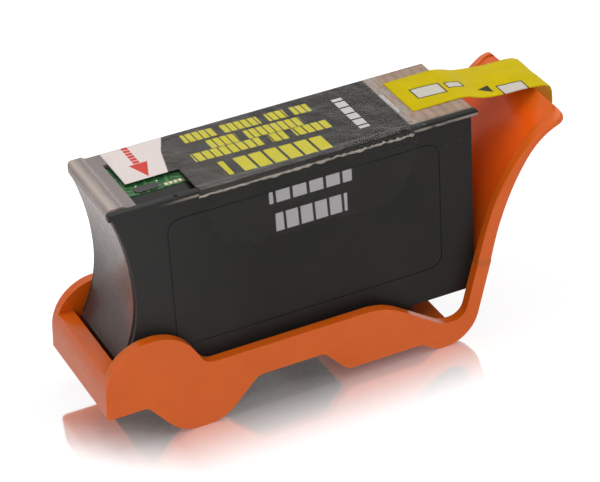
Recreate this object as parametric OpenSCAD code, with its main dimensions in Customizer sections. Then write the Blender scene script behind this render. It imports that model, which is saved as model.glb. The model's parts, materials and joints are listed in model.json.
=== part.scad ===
// Ink cartridge held in its shipping clip, with wrap label and pull tape.
// X runs along the tank, Y across it, Z up from the surface that the clip stands on.

/* [Tank] */
// Length of the tank over its top flanges
tank_l = 78; // [70:0.5:96]
// Width of the tank over its top flanges
tank_w = 22.5; // [20:0.5:36]
// Height of the tank from its underside to the top of its lid
tank_h = 40.8; // [38.8:0.2:44]
// Wall of the moulded core
wall = 1.5; // [1.1:0.1:1.8]
// Thickness of a side cover
cover_t = 1.2; // [0.8:0.1:1.4]
// How far the top flange stands out from a cover's face
flange_proud = 0.35; // [0.1:0.05:0.5]
// Height of a top flange
flange_h = 1.25; // [0.9:0.05:2]
// How far the flange's bead rises over the lid
bead_rise = 0.25; // [0.1:0.05:0.5]
// How far the flanges overhang the covers at the handle end
flange_over = 1.4; // [0.6:0.1:1.6]
// Distance of the bead's notch from the narrow end
notch_x = 13.4; // [9:0.1:17]

/* [Grip end] */
// Depth of the hollow that fingers hold at the narrow end
waist = 3.7; // [2:0.1:4.5]
// Drop of the waist under the lid
waist_drop = 19.5; // [17:0.5:22]
// Height of the foot ledge over the tank's underside
ledge_rise = 7.3; // [6.8:0.1:7.8]
// Thickness of the foot ledge
ledge_t = 1; // [0.6:0.1:1.4]

/* [Cover outline] */
// Inset of the engraved outline from the narrow end
groove_left = 11.3; // [8:0.1:14]
// Inset of the engraved outline from the handle end
groove_right = 8.6; // [6:0.1:14]
// Drop of the engraved outline's top under the lid
groove_top = 4.6; // [3:0.1:8]
// Drop of the engraved outline's bottom under the lid
groove_bottom = 33.5; // [28:0.5:36]
// Corner radius of the engraved outline
groove_r = 3; // [1:0.1:5]
// Width of the engraved line
groove_w = 0.3; // [0.2:0.05:0.6]
// Depth of the engraved line
groove_d = 0.15; // [0.1:0.05:0.3]

/* [Lid] */
// Thickness of the lid
lid_t = 1.2; // [0.9:0.1:1.6]
// Distance of the lid's near edge from the narrow end
lid_start = 19.6; // [19.4:0.2:24]
// Radius of the filling hole
fill_r = 1.6; // [1:0.1:2.2]
// Distance of the filling hole from the partition
fill_back = 9; // [6:0.5:12]
// Distance of the vent hole from the handle end
vent_back = 17; // [15:0.5:19]
// Distance of the winding vent channel from the handle end
channel_back = 10; // [9.5:0.1:11]
// Radius of the vent hole
vent_r = 0.5; // [0.3:0.05:0.7]
// Width of a vent channel
channel_w = 0.6; // [0.4:0.05:0.8]
// Depth of a vent channel
channel_d = 0.4; // [0.2:0.05:0.6]
// Passes of the vent channel across the lid
channel_n = 5; // [3:2:5]

/* [Ridge and board] */
// Width of the deck across the narrow end
ridge_w = 6.2; // [5:0.1:6.4]
// Height of the deck's ridge over the lid
ridge_rise = 0.5; // [0.2:0.05:0.8]
// Length of the circuit board
board_l = 12.6; // [9:0.1:12.7]
// Width of the circuit board
board_w = 11.6; // [8:0.1:11.8]
// Thickness of the circuit board
board_t = 0.8; // [0.6:0.1:1]
// Width of the tray's ledge in front of the board
ledge_w = 4.3; // [3:0.1:4.5]

/* [Outlet] */
// Distance of the outlet's axis from the handle end
outlet_back = 22; // [21:0.5:24]
// Bore radius of the outlet tube
outlet_r = 4.2; // [3:0.1:4.4]
// Wall of the outlet tube
outlet_wall = 1.8; // [1.6:0.1:2]
// Length of the skirt round the outlet
skirt_l = 18; // [16.5:0.5:19]
// Width of the skirt round the outlet
skirt_w = 16; // [15.5:0.5:17]
// Wall of the skirt
skirt_wall = 1.3; // [1:0.1:1.4]
// Height of the foam block
foam_h = 26; // [10:0.5:30]

/* [Films] */
// Thickness of the printed label
label_t = 0.12; // [0.08:0.01:0.2]
// Distance of the label's far edge from the handle end
label_back = 14; // [13:0.5:24]
// Thickness of the clear film
film_t = 0.08; // [0.05:0.01:0.12]
// Drop of the clear film's side tabs under the lid
tab_drop = 15; // [12:0.5:24]
// Corner radius of the side tabs
tab_r = 8; // [3:0.5:10]
// Thickness of the pull tape
tape_t = 0.2; // [0.12:0.02:0.3]
// Width of the pull tape
tape_w = 13; // [8:0.5:15]
// Length of the tape's free tail outside the handle
tail_l = 9; // [4:0.5:16]

/* [Clip] */
// Gap between the tank's flange faces and the clip's walls
clip_gap = 0.8; // [0.5:0.05:1]
// Thickness of the clip's side walls
clip_t = 2.1; // [1.8:0.1:2.6]
// Height of the tank's underside over the ground
tank_lift = 10.1; // [10.1:0.1:12]
// Thickness of the crossbar's walls and of the floor
bar_t = 1.65; // [1.2:0.05:1.8]
// Radius of the round lobes beside the crossbar
lobe_r = 9.8; // [8:0.1:10]
// Thickness of the handle's web
web_t = 1.3; // [1:0.1:1.6]
// Depth of the handle's side flanges at their lower end
handle_d = 3; // [2.6:0.1:3.3]
// How far the handle widens to each side up to its rim
handle_flare = 0.9; // [0.3:0.1:1.5]
// How far the horns at the rim's corners stand out to each side
horn_out = 0.9; // [0:0.1:1.2]
// How far the horns curl away from the tank
horn_curl = 0.9; // [0:0.1:1.2]
// Corner radius of the handle's rim
rim_r = 2.4; // [1.6:0.1:4]
// Thickness of the seal pad
pad_t = 2; // [1.6:0.1:2.2]

/* [Hidden] */
$fn = 48;

// Clearances: beside what drops in, round what swells, and how deep solids join
fit = 0.1;
slack = 0.3;
bite = 0.5;

// Planes of the tank
tank_z = tank_lift;
top_z = tank_z + tank_h;
half_w = tank_w / 2;
face_y = half_w - flange_proud;
core_y = face_y - cover_t;
flange_y = core_y + fit;
cover_end = tank_l - flange_over;
core_end = cover_end - fit;
core_top = top_z - lid_t;
waist_z = top_z - waist_drop;
ledge_z = tank_z + ledge_rise;
ledge_x = -0.4;
foot_x = 1;
deck_x0 = 0.3;
cover_inset = 0.3;
partition_x = tank_l / 2;
window_w = 8;
window_h = 3;

// Board tray, board and what is on it
tray_drop = 0.8;
tray_floor = 0.5;
tray_z = core_top - tray_drop;
tray_x0 = ridge_w + 0.1;
tray_x1 = lid_start - 0.2;
tray_y1 = -core_y + ledge_w + board_w + 0.8;
board_z = tray_z + tray_floor;
board_top = board_z + board_t;
board_x = tray_x0 + 2 * fit + board_l / 2;
board_y0 = -core_y + ledge_w + fit;
cap_size = [4.8, 2, 0.25];
cap_x = 10.6;
pad_size = [0.7, 0.9, 0.05];
pad_pitch = 0.95;
pad_x = 14.2;
pad_n = 5;
dot_r = 0.25;
dot_h = 0.15;
dot_x = [9.1, 13.4];

// Lid features
chamber_top = tray_z - wall;
fill_x = partition_x - fill_back;
plug_h = 2.4;
vent_x = tank_l - vent_back;
vent_film_l = 8;
vent_film_t = 0.1;
channel_pitch = 1.6;
channel_y = 8.5;
channel_x = tank_l - channel_back;

// Outlet stack, from the clip's floor up
outlet_x = tank_l - outlet_back;
floor_z = 2.35;
pad_z = floor_z + bar_t;
gasket_z = pad_z + pad_t;
gasket_h = 1;
gasket_r = outlet_r + 0.5;
gasket_t = 0.8;
tube_z = gasket_z + 0.2;
skirt_z = pad_z + slack;
screen_t = 0.15;
foam_z = tank_z + wall;
foam_x0 = partition_x + wall / 2 + slack;
foam_x1 = core_end - wall - slack;

// Films
label_x0 = 7.3;
label_x1 = tank_l - label_back;
label_step_x = 18.7;
label_step_y = -2;
label_drop = 1.05;
film_x0 = 19.6;
film_x1 = label_x1 + 2.5;
tape_x0 = film_x1 + slack;
tape_y = 1;
tape_lift = 0.02;
tape_crest = 1.3;
tape_flat = 4;
tape_dip = 6.5;
tape_hop = 12;
tape_over = 4;
tape_out = 3.6;
tape_fall = 3.8;

// Clip widths and heights
clip_x0 = -5.6;
clip_in = half_w + clip_gap;
clip_y = clip_in + clip_t;
bar_z0 = tank_z - 1.85;
bar_top = ledge_z - fit;
bar_x1 = ledge_x - 0.8;
shelf_x1 = foot_x + 2.2;
rail_top = tank_z + 4.1;
rail_z = tank_z - 2.35;
corner_z = tank_z - 4.5;
heel_l = 7.68;
throat_l = 4.93;
dip_l = 12.8;
dip_r = 14;
floor_x0 = outlet_x - 10;
floor_x1 = outlet_x + 14.2;
lobe_x = clip_x0 + 0.85 + 1.587 * lobe_r;
lobe_top = bar_top + 5.7;

// Handle: the outer face follows a cubic curve from the arms to the rim
arm_x = tank_l + 0.75;
arm_z = tank_z + 6.9;
rim_z = top_z - 4;
rise = rim_z - arm_z;
lean = 2.65;
sweep_x = 5.9;
reach_x = 16.3;
handle_path = [
  [arm_x, arm_z],
  [arm_x + lean, arm_z + 0.32 * rise],
  [arm_x + sweep_x, arm_z + 0.756 * rise],
  [arm_x + reach_x, rim_z]
];
rim_t = 1.1;
rim_d = rim_t + 0.4;
tuck = 1.2;
shell = 0.05;
crown = 0.06;
arm_tongue = 0.8;
rings = 18;
corner_rings = 6;

// Tape over the rim, and the ends that set the origin
rim_top = handle_path[3] + rim_t * inward(1) + [0, 0.05];
tape_x1 = rim_top[0] + tape_out;
mid_x = (clip_x0 + tape_x1 + tape_t) / 2;

function unit(v) = v / norm(v);

function reverse(v) = [for (i = [len(v) - 1:-1:0]) v[i]];

function ease(t) = let (s = max(0, min(1, t))) s * s * (3 - 2 * s);

// Points of an arc about c
function arc(c, r, a0, a1, n) =
  [for (i = [0:n]) let (a = a0 + (a1 - a0) * i / n) c + r * [cos(a), sin(a)]];

// Point of a cubic curve with four control points
function bezier(p, t) =
  pow(1 - t, 3) * p[0] + 3 * t * pow(1 - t, 2) * p[1] + 3 * t * t * (1 - t) * p[2] + t * t * t * p[3];

// Direction of a cubic curve
function heading(p, t) =
  unit(pow(1 - t, 2) * (p[1] - p[0]) + 2 * t * (1 - t) * (p[2] - p[1]) + t * t * (p[3] - p[2]));

// Direction from the handle's outer face towards the tank
function inward(t) = let (h = heading(handle_path, t)) [-h[1], h[0]];

// Arc that rounds corner p = [x, y, radius] between its neighbours q and s
function corner(q, p, s) =
  let (
    a = [p[0], p[1]],
    u = unit([q[0], q[1]] - a),
    w = unit([s[0], s[1]] - a),
    r = p[2],
    half = acos(u * w) / 2,
    c = a + unit(u + w) * r / sin(half),
    first = a + u * r / tan(half) - c,
    a0 = atan2(first[1], first[0]),
    sweep = -sign(cross(u, w)) * (180 - 2 * half),
    n = max(3, ceil(max(abs(sweep) / 15, r * abs(sweep) / 50)))
  )
  r == 0 ? [a] : arc(c, r, a0, a0 + sweep, n);

// Outline whose corners [x, y, radius] are rounded
function rounded(v) =
  let (n = len(v))
  [for (i = [0:n - 1]) each corner(v[(i + n - 1) % n], v[i], v[(i + 1) % n])];

// Moves a piece so that the whole object is centred over the origin
module centred() {
  translate([-mid_x, 0, 0]) children();
}

// Prism of an XZ outline between two Y planes
module slab(points, y0, y1) {
  translate([0, y1, 0]) rotate([90, 0, 0]) linear_extrude(y1 - y0) polygon(points);
}

// Prism of a YZ outline between two X planes
module bar(points, x0, x1) {
  translate([x0, 0, 0]) rotate([90, 0, 90]) linear_extrude(x1 - x0) polygon(points);
}

// Block between two corners
module block(a, b) {
  translate(a) cube(b - a);
}

// Plate with rounded corners, centred over its base
module tile(l, w, r, h) {
  linear_extrude(h)
    polygon(rounded([[-l / 2, -w / 2, r], [l / 2, -w / 2, r], [l / 2, w / 2, r], [-l / 2, w / 2, r]]));
}

// Hollow of the grip end, from height z_high down to z_low, moved in by g
function grip_end(g, z_high, z_low) =
  let (
    fall = waist_z - ledge_z,
    climb = top_z - waist_z,
    low_r = (waist * waist + fall * fall) / (2 * waist),
    high_r = (waist * waist + climb * climb) / (2 * waist),
    a_high = asin((z_high - waist_z) / high_r),
    a_low = asin((waist_z - z_low) / low_r)
  )
  concat(
    arc([waist + g - high_r, waist_z], high_r, a_high, 0, 12),
    arc([waist + g - low_r, waist_z], low_r, -a_low / 12, -a_low, 11)
  );

// Side view of the core with its foot ledge
function core_outline() =
  concat(
    grip_end(0, core_top, ledge_z),
    [[ledge_x, ledge_z], [ledge_x, ledge_z - ledge_t], [foot_x, ledge_z - ledge_t - 0.6]],
    [[foot_x, tank_z], [core_end, tank_z], [core_end, core_top]]
  );

// Side view of the ink space inside the walls
function chamber_outline() =
  concat(
    grip_end(wall, chamber_top, ledge_z),
    rounded([
      [foot_x + wall + 0.6, ledge_z - ledge_t, 0],
      [foot_x + wall, tank_z + wall, 1],
      [core_end - wall, tank_z + wall, 1],
      [core_end - wall, chamber_top, 1],
      [waist + wall + 2, chamber_top, 0]
    ])
  );

// Ink space in two rooms, joined by a window at the foot of the partition
module chambers() {
  difference() {
    slab(chamber_outline(), -core_y - 1, core_y + 1);
    difference() {
      block([partition_x - wall / 2, -core_y - 2, 0], [partition_x + wall / 2, core_y + 2, top_z]);
      block([partition_x - wall, -window_w / 2, tank_z], [partition_x + wall, window_w / 2, foam_z + window_h]);
    }
  }
}

// Deck round two sides of the tray, seen from above
module deck(z0, z1) {
  translate([0, 0, z0])
    linear_extrude(z1 - z0)
      polygon(rounded([
        [deck_x0, -core_y, 0.3],
        [tray_x0, -core_y, 0.3],
        [tray_x0, tray_y1, 0],
        [tray_x1, tray_y1, 0],
        [tray_x1, half_w - fit, 0],
        [deck_x0, half_w - fit, 1.5]
      ]));
}

// Rounded ridge along the deck's outer edge
module ridge() {
  intersection() {
    slab(rounded([
      [deck_x0 - 0.1, top_z - bite, 0],
      [ridge_w - 1.8, top_z - bite, 0],
      [ridge_w - 1.8, top_z, 0],
      [ridge_w - 2.6, top_z + ridge_rise, 0.6],
      [deck_x0 - 0.1, top_z + ridge_rise, 0.9]
    ]), -core_y - 1, half_w + 1);
    deck(top_z - 1, top_z + 2);
  }
}

// Wall round the outlet that locates the seal pad
module skirt() {
  translate([outlet_x, 0, skirt_z])
    difference() {
      tile(skirt_l, skirt_w, 2, tank_z - skirt_z + bite);
      translate([0, 0, -1]) tile(skirt_l - 2 * skirt_wall, skirt_w - 2 * skirt_wall, 1, tank_z - skirt_z + 1);
    }
}

// Seat of the ring gasket in the mouth of the outlet tube
module gasket_seat() {
  translate([outlet_x, 0, tube_z - 1])
    difference() {
      cylinder(r = gasket_r + gasket_t + fit, h = gasket_z + gasket_h - tube_z + 1);
      translate([0, 0, -1]) cylinder(r = gasket_r - fit, h = gasket_h + 3);
    }
}

// Moulded core: walls, partition, ridge, tray seat, rear rail, outlet tube and skirt
module tank_frame() {
  color([0.62, 0.55, 0.5, 0.6])
  centred()
  difference() {
    union() {
      difference() {
        slab(core_outline(), -core_y, core_y);
        chambers();
      }
      block([deck_x0 + 0.2, -core_y, core_top - bite], [tray_x1, core_y, core_top + bite]);
      deck(core_top, top_z);
      ridge();
      translate([outlet_x, 0, tube_z]) cylinder(r = outlet_r + outlet_wall, h = tank_z - tube_z + bite);
      skirt();
    }
    translate([outlet_x, 0, tube_z - 1]) cylinder(r = outlet_r, h = foam_z - tube_z + 2);
    gasket_seat();
    block([tray_x0, -core_y - 1, tray_z], [tray_x1, tray_y1, top_z + 1]);
    translate([fill_x, 0, chamber_top - 1]) cylinder(r = fill_r, h = 6);
    translate([vent_x, 0, chamber_top - 1]) cylinder(r = vent_r, h = 6);
  }
}

// Side view of a cover up to height z
function cover_outline(z) =
  concat(
    grip_end(cover_inset, z, ledge_z),
    [[foot_x + cover_inset, ledge_z - ledge_t], [foot_x + cover_inset, tank_z]],
    [[cover_end, tank_z], [cover_end, z]]
  );

// Section of the top flange with its bead, on the front side
function flange_section() =
  rounded([
    [-half_w + 0.12, top_z - flange_h, 0.1],
    [-flange_y, top_z - flange_h, 0],
    [-flange_y, top_z + bead_rise, 0.4],
    [-half_w, top_z + bead_rise, 0.65],
    [-half_w, top_z - 0.45, 0.1],
    [-half_w + 0.12, top_z - 0.55, 0]
  ]);

// Thin frame that follows the engraved outline
module groove() {
  x0 = groove_left;
  x1 = tank_l - groove_right;
  z0 = top_z - groove_bottom;
  z1 = top_z - groove_top;
  translate([(x0 + x1) / 2, -face_y + groove_d, (z0 + z1) / 2])
    rotate([90, 0, 0])
      difference() {
        tile(x1 - x0, z1 - z0, groove_r, groove_d + 1);
        translate([0, 0, -1]) tile(x1 - x0 - 2 * groove_w, z1 - z0 - 2 * groove_w, groove_r - groove_w, groove_d + 3);
      }
}

// Top flange of the front cover with its rounded ends
module flange() {
  intersection() {
    bar(flange_section(), 0, tank_l);
    slab(rounded([
      [0, top_z - flange_h - 1, 0.1],
      [tank_l, top_z - flange_h - 1, 0.1],
      [tank_l, top_z + bead_rise, 0.7],
      [0, top_z + bead_rise, 0.7]
    ]), -half_w - 1, 0);
  }
}

// Front cover with top flange, bead and engraved outline
module front_cover() {
  color([0.13, 0.13, 0.13])
  centred()
  difference() {
    union() {
      slab(cover_outline(top_z - flange_h + bite / 2), -face_y, -core_y);
      flange();
    }
    groove();
    block([notch_x, -half_w - 1, top_z - 0.1], [notch_x + 0.7, -half_w + 0.9, top_z + 1]);
  }
}

// Back cover, closed above by the overhang of deck and lid
module back_cover() {
  color([0.13, 0.13, 0.13])
  centred()
  difference() {
    slab(cover_outline(core_top), core_y, face_y);
    mirror([0, 1, 0]) groove();
  }
}

// Channel that winds across the lid from the vent to the open air
module vent_channel() {
  z0 = top_z - channel_d;
  for (i = [0:channel_n - 1])
    let (x = channel_x + i * channel_pitch, s = i % 2 == 0 ? 1 : -1)
    union() {
      block([x, -channel_y, z0], [x + channel_w, channel_y, top_z + 1]);
      if (i < channel_n - 1)
        block([x, s * channel_y - channel_w / 2, z0], [x + channel_pitch + channel_w, s * channel_y + channel_w / 2, top_z + 1]);
    }
  block([vent_x, -channel_y - channel_w / 2, z0], [channel_x + channel_w, -channel_y + channel_w / 2, top_z + 1]);
  block([vent_x - channel_w / 2, -channel_y - channel_w / 2, z0], [vent_x + channel_w / 2, 0, top_z + 1]);
}

// Welded lid with filling hole, vent, vent channel and film seat
module top_lid() {
  color([0.78, 0.68, 0.6, 0.8])
  centred()
  difference() {
    slab(rounded([
      [lid_start, core_top, 0],
      [tank_l - 0.3, core_top, 0],
      [tank_l - 0.3, top_z, 0.4],
      [lid_start, top_z, 0.2]
    ]), -flange_y + fit, half_w - fit);
    translate([fill_x, 0, core_top - 1]) cylinder(r = fill_r, h = lid_t + 2);
    translate([vent_x, 0, core_top - 1]) cylinder(r = vent_r, h = lid_t + 2);
    vent_channel();
    translate([vent_x, 0, top_z - vent_film_t - 0.02]) tile(vent_film_l + 2 * fit, vent_film_l + 2 * fit, 1, 1);
  }
}

// Black tray under the board, with the ledge in front of it
module board_tray() {
  color([0.09, 0.09, 0.09])
  centred()
  slab([
    [tray_x0 + fit, tray_z],
    [tray_x1 - fit, tray_z],
    [tray_x1 - fit, board_z],
    [tray_x0 + fit, board_z]
  ], -core_y + fit, tray_y1 - fit);
  color([0.09, 0.09, 0.09])
  centred()
  bar(rounded([
    [-core_y + fit, board_z - tray_floor / 2, 0],
    [board_y0 - fit, board_z - tray_floor / 2, 0],
    [board_y0 - fit, board_top - 0.1, 0.2],
    [-core_y + fit, board_top - 0.35, 0.2]
  ]), tray_x0 + fit, tray_x1 - fit);
}

module chip_board() {
  color([0.12, 0.42, 0.24])
  centred()
  translate([board_x, board_y0 + board_w / 2, board_z]) tile(board_l, board_w, 0.3, board_t);
}

// Row of tinned pads along the board's front edge
module contact_pads() {
  color([0.75, 0.66, 0.42])
  centred()
  for (i = [0:pad_n - 1])
    translate([pad_x + i * pad_pitch, board_y0 + 0.4, board_top]) cube(pad_size);
}

// Dark resin over the chip
module chip_cap() {
  color([0.16, 0.12, 0.1])
  centred()
  translate([cap_x, board_y0 + 0.3 + cap_size[1] / 2, board_top]) tile(cap_size[0], cap_size[1], 0.6, cap_size[2]);
}

module solder_dots() {
  color([0.85, 0.85, 0.82])
  centred()
  for (x = dot_x)
    translate([x, board_y0 + cap_size[1] + 0.3 + 2 * dot_r, board_top]) cylinder(r = dot_r, h = dot_h);
}

// Plug pressed into the filling hole
module fill_plug() {
  color([0.8, 0.78, 0.74])
  centred()
  translate([fill_x, 0, top_z - plug_h - 0.05])
    rotate_extrude()
      polygon([[0, 0], [fill_r - 0.5, 0], [fill_r - 0.05, 0.6], [fill_r - 0.05, plug_h], [0, plug_h]]);
}

module vent_film() {
  color([0.9, 0.9, 0.88])
  centred()
  translate([vent_x, 0, top_z - vent_film_t - 0.02]) tile(vent_film_l, vent_film_l, 1, vent_film_t);
}

// Foam that holds the ink over the outlet
module foam_block() {
  color([0.1, 0.1, 0.11])
  centred()
  translate([(foam_x0 + foam_x1) / 2, 0, foam_z])
    tile(foam_x1 - foam_x0, 2 * (core_y - slack), 1.5, foam_h);
}

module outlet_wick() {
  color([0.3, 0.3, 0.32])
  centred()
  translate([outlet_x, 0, tube_z + screen_t]) cylinder(r = outlet_r - fit, h = foam_z - tube_z - screen_t);
}

module outlet_screen() {
  color([0.7, 0.7, 0.72])
  centred()
  translate([outlet_x, 0, tube_z]) cylinder(r = outlet_r - fit, h = screen_t);
}

module outlet_gasket() {
  color([0.2, 0.2, 0.2])
  centred()
  translate([outlet_x, 0, gasket_z])
    difference() {
      cylinder(r = gasket_r + gasket_t, h = gasket_h);
      translate([0, 0, -1]) cylinder(r = gasket_r, h = gasket_h + 2);
    }
}

// Soft pad on the clip's floor that keeps the outlet shut
module seal_pad() {
  color([0.85, 0.83, 0.78])
  centred()
  translate([outlet_x, 0, pad_z])
    tile(skirt_l - 2 * skirt_wall - 1, skirt_w - 2 * skirt_wall - 1, 1, pad_t);
}

// Half section of a film laid at distance g over an edge that rises by r
function skin(g, drop, r) =
  let (k = r > 0 ? 0.35 : fit)
  concat(
    [[0, top_z + g], [flange_y - 0.6, top_z + g], [flange_y + 0.1, top_z + r + g]],
    [[half_w - k, top_z + r + g], [half_w + g, top_z + r - k]],
    drop < flange_h
      ? [[half_w + g, top_z - drop]]
      : [[half_w + g, top_z - flange_h], [face_y + g, top_z - flange_h - 0.6], [face_y + g, top_z - drop]]
  );

// Whole section of a film laid over the bead in front and the lid's edge behind
function over(g, drop) =
  concat([for (p = reverse(skin(g, drop, bead_rise))) [-p[0], p[1]]], skin(g, drop, 0));

// Film of thickness t laid over the tank at distance g
module sleeve(g, t, drop, x0, x1) {
  bar(concat(over(g, drop), reverse(over(g + t, drop))), x0, x1);
}

// Printed label over the lid and both beads, stepped back round the board
module wrap_label() {
  color([0.15, 0.14, 0.14])
  centred()
  difference() {
    sleeve(0, label_t, label_drop, label_x0, label_x1);
    block([label_x0 - 1, -half_w - 1, top_z - 3], [label_step_x, label_step_y, top_z + 3]);
  }
}

// Clear film over the label, with a rounded tab down each cover
module clear_film() {
  color([0.85, 0.85, 0.85, 0.3])
  centred()
  intersection() {
    sleeve(label_t, film_t, tab_drop, film_x0, film_x1);
    slab(rounded([
      [film_x0 - 0.5, top_z + 2, 0],
      [film_x0 + 0.3, top_z - tab_drop, tab_r],
      [film_x1 - 3.1, top_z - tab_drop, tab_r],
      [film_x1 - 1.1, top_z - flange_h, 1],
      [film_x1 + 1, top_z - flange_h + 0.2, 0],
      [film_x1 + 1, top_z + 2, 0]
    ]), -half_w - 1, half_w + 1);
  }
}

// Under side of the tape: along the lid, down to the crest over the rim, and down outside
function tape_line() =
  let (
    z0 = top_z + tape_lift,
    lid_end = tank_l - 1,
    crest = [lid_end + tape_hop, rim_top[1] + tape_crest],
    span = [[lid_end, z0], [lid_end + tape_flat, z0], [lid_end + tape_dip, crest[1]], crest],
    bend = [crest, crest + [tape_over, 0], [tape_x1 - 0.5, crest[1] + 0.2], [tape_x1, crest[1] - tape_fall]]
  )
  concat(
    [[tape_x0, z0]],
    [for (i = [0:14]) bezier(span, i / 14)],
    [for (i = [1:12]) bezier(bend, i / 12)],
    [[tape_x1, rim_top[1] - tail_l]]
  );

// Outline of a strip of thickness t over a line
function strip(line, t) =
  let (n = len(line) - 1)
  concat(line, reverse([for (i = [0:n])
    let (d = unit(line[min(n, i + 1)] - line[max(0, i - 1)]))
    line[i] + t * [-d[1], d[0]]]));

module pull_tape() {
  color([0.84, 0.76, 0.05])
  centred()
  slab(reverse(strip(tape_line(), tape_t)), tape_y - tape_w / 2, tape_y + tape_w / 2);
}

// Side view of a clip wall: crossbar end, round lobes, rail, foot, heel and arm
function clip_outline() =
  let (
    d = heading(handle_path, 0),
    outer = handle_path[0] + arm_tongue * d + shell * inward(0),
    inner = outer + (handle_d - 2 * shell) * inward(0),
    throat = inner - (inner[1] - corner_z) / d[1] * d,
    heel = outer - outer[1] / d[1] * d
  )
  rounded([
    [clip_x0, bar_z0, 1],
    [shelf_x1 - 0.2, bar_z0, 1.5],
    [9.8, 0, 8],
    [18.8, 0, 8.6],
    [18.8 + rail_z, rail_z, 3],
    [outlet_x - 15, rail_z, 2],
    [outlet_x - 15 + 0.9 * (rail_z - floor_z), floor_z, 3],
    [outlet_x + 6.5, floor_z, 2.5],
    [heel[0] - heel_l, 0, 3],
    concat(heel, 8),
    concat(outer, 0),
    concat(inner, 0),
    concat(throat, 3.5),
    [throat[0] - throat_l, corner_z, 5],
    [throat[0] - throat_l - dip_l, rail_top, dip_r],
    [lobe_x + 5.1, rail_top, 3],
    [lobe_x, lobe_top, lobe_r],
    [clip_x0 + 0.85, lobe_top, lobe_r]
  ]);

// Side view of all that is cut away between the walls: it leaves the crossbar and the floor
function clip_inside() =
  [
    [clip_x0 - 5, bar_top],
    [bar_x1, bar_top],
    [bar_x1, bar_top - bar_t],
    [clip_x0 + 0.4 + bar_t, bar_top - bar_t],
    [clip_x0 + 0.4 + bar_t, tank_z],
    [shelf_x1, tank_z],
    [shelf_x1, -5],
    [floor_x0, -5],
    [floor_x0, pad_z],
    [floor_x1, pad_z],
    [floor_x1, -5],
    [tape_x1, -5],
    [tape_x1, top_z],
    [clip_x0 - 5, top_z]
  ];

// Growth of the horns towards the rim
function horn(t) = pow(max(0, (t - 0.7) / 0.3), 2);

// Half section of the handle at t: [distance across, distance in from the outer face]
function scoop_half(t, inset) =
  let (
    hw = clip_y + shell + handle_flare * ease((t - 0.1) / 0.9) + horn_out * horn(t) - inset,
    d = handle_d + shell + (rim_d - handle_d) * ease((t - 0.35) / 0.55),
    w = web_t + (rim_t - web_t) * t,
    side = clip_t + 2 * shell,
    r_out = 0.5 * ease(t * 5) + 0.1,
    r_tip = 0.25 * ease(t * 5) + 0.1,
    r_in = 0.45 * (d - w)
  )
  concat(
    [[0, -crown]],
    arc([hw - r_out, r_out], r_out, -90, 0, 4),
    arc([hw - r_tip, d - r_tip], r_tip, 0, 90, 3),
    arc([hw - side + r_tip / 2, d - r_tip / 2], r_tip / 2, 90, 180, 3),
    arc([hw - side - r_in, w + r_in], r_in, 0, -90, 4),
    [[0, w - crown]]
  );

// Closed section of the handle at t
function scoop_ring(t, inset) =
  let (
    half = scoop_half(t, inset),
    c = bezier(handle_path, t),
    n = inward(t),
    curl = horn_curl * horn(t),
    back = [for (i = [len(half) - 2:-1:1]) [-half[i][0], half[i][1]]]
  )
  [for (q = concat(half, back))
    let (h = q[1] - curl * pow(abs(q[0]) / clip_y, 5))
    [c[0] + h * n[0], q[0], c[1] + h * n[1]]];

// Handle: a flared scoop, lofted along the curve and rounded at the corners of its rim
module scoop() {
  reach = 3 * norm(handle_path[3] - handle_path[2]);
  t_corner = 1 - rim_r / reach;
  sections = concat(
    [for (i = [0:rings]) [(t_corner * i - tuck / reach * (rings - i)) / rings, 0]],
    [for (i = [1:corner_rings])
      let (a = 90 * i / corner_rings)
      [1 - rim_r * (1 - sin(a)) / reach, rim_r * (1 - cos(a)) * 0.999]]
  );
  loops = [for (s = sections) scoop_ring(s[0], s[1])];
  n = len(loops[0]);
  m = len(loops);
  walls = [for (j = [0:m - 2], i = [0:n - 1], k = [0, 1])
    let (a = j * n + i, b = j * n + (i + 1) % n)
    k == 0 ? [a, a + n, b] : [b, a + n, b + n]];
  ends = [[for (i = [0:n - 1]) i], [for (i = [n - 1:-1:0]) (m - 1) * n + i]];
  polyhedron([for (l = loops, p = l) p], concat(walls, ends), convexity = 6);
}

// Clip moulded in one piece
module clip() {
  color([0.85, 0.38, 0.13])
  centred()
  union() {
    difference() {
      slab(clip_outline(), -clip_y, clip_y);
      slab(clip_inside(), -clip_in, clip_in);
    }
    scoop();
  }
}

tank_frame();
front_cover();
back_cover();
top_lid();
board_tray();
chip_board();
contact_pads();
chip_cap();
solder_dots();
fill_plug();
vent_film();
foam_block();
outlet_wick();
outlet_screen();
outlet_gasket();
seal_pad();
wrap_label();
clear_film();
pull_tape();
clip();
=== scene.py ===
"""Looks of an ink cartridge in its shipping clip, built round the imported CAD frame."""

import json
import logging
import math
from dataclasses import dataclass
from enum import Enum
from functools import cached_property
from typing import Callable, Optional, Sequence

import bmesh
import bpy
from mathutils import Matrix, Vector, noise

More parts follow.
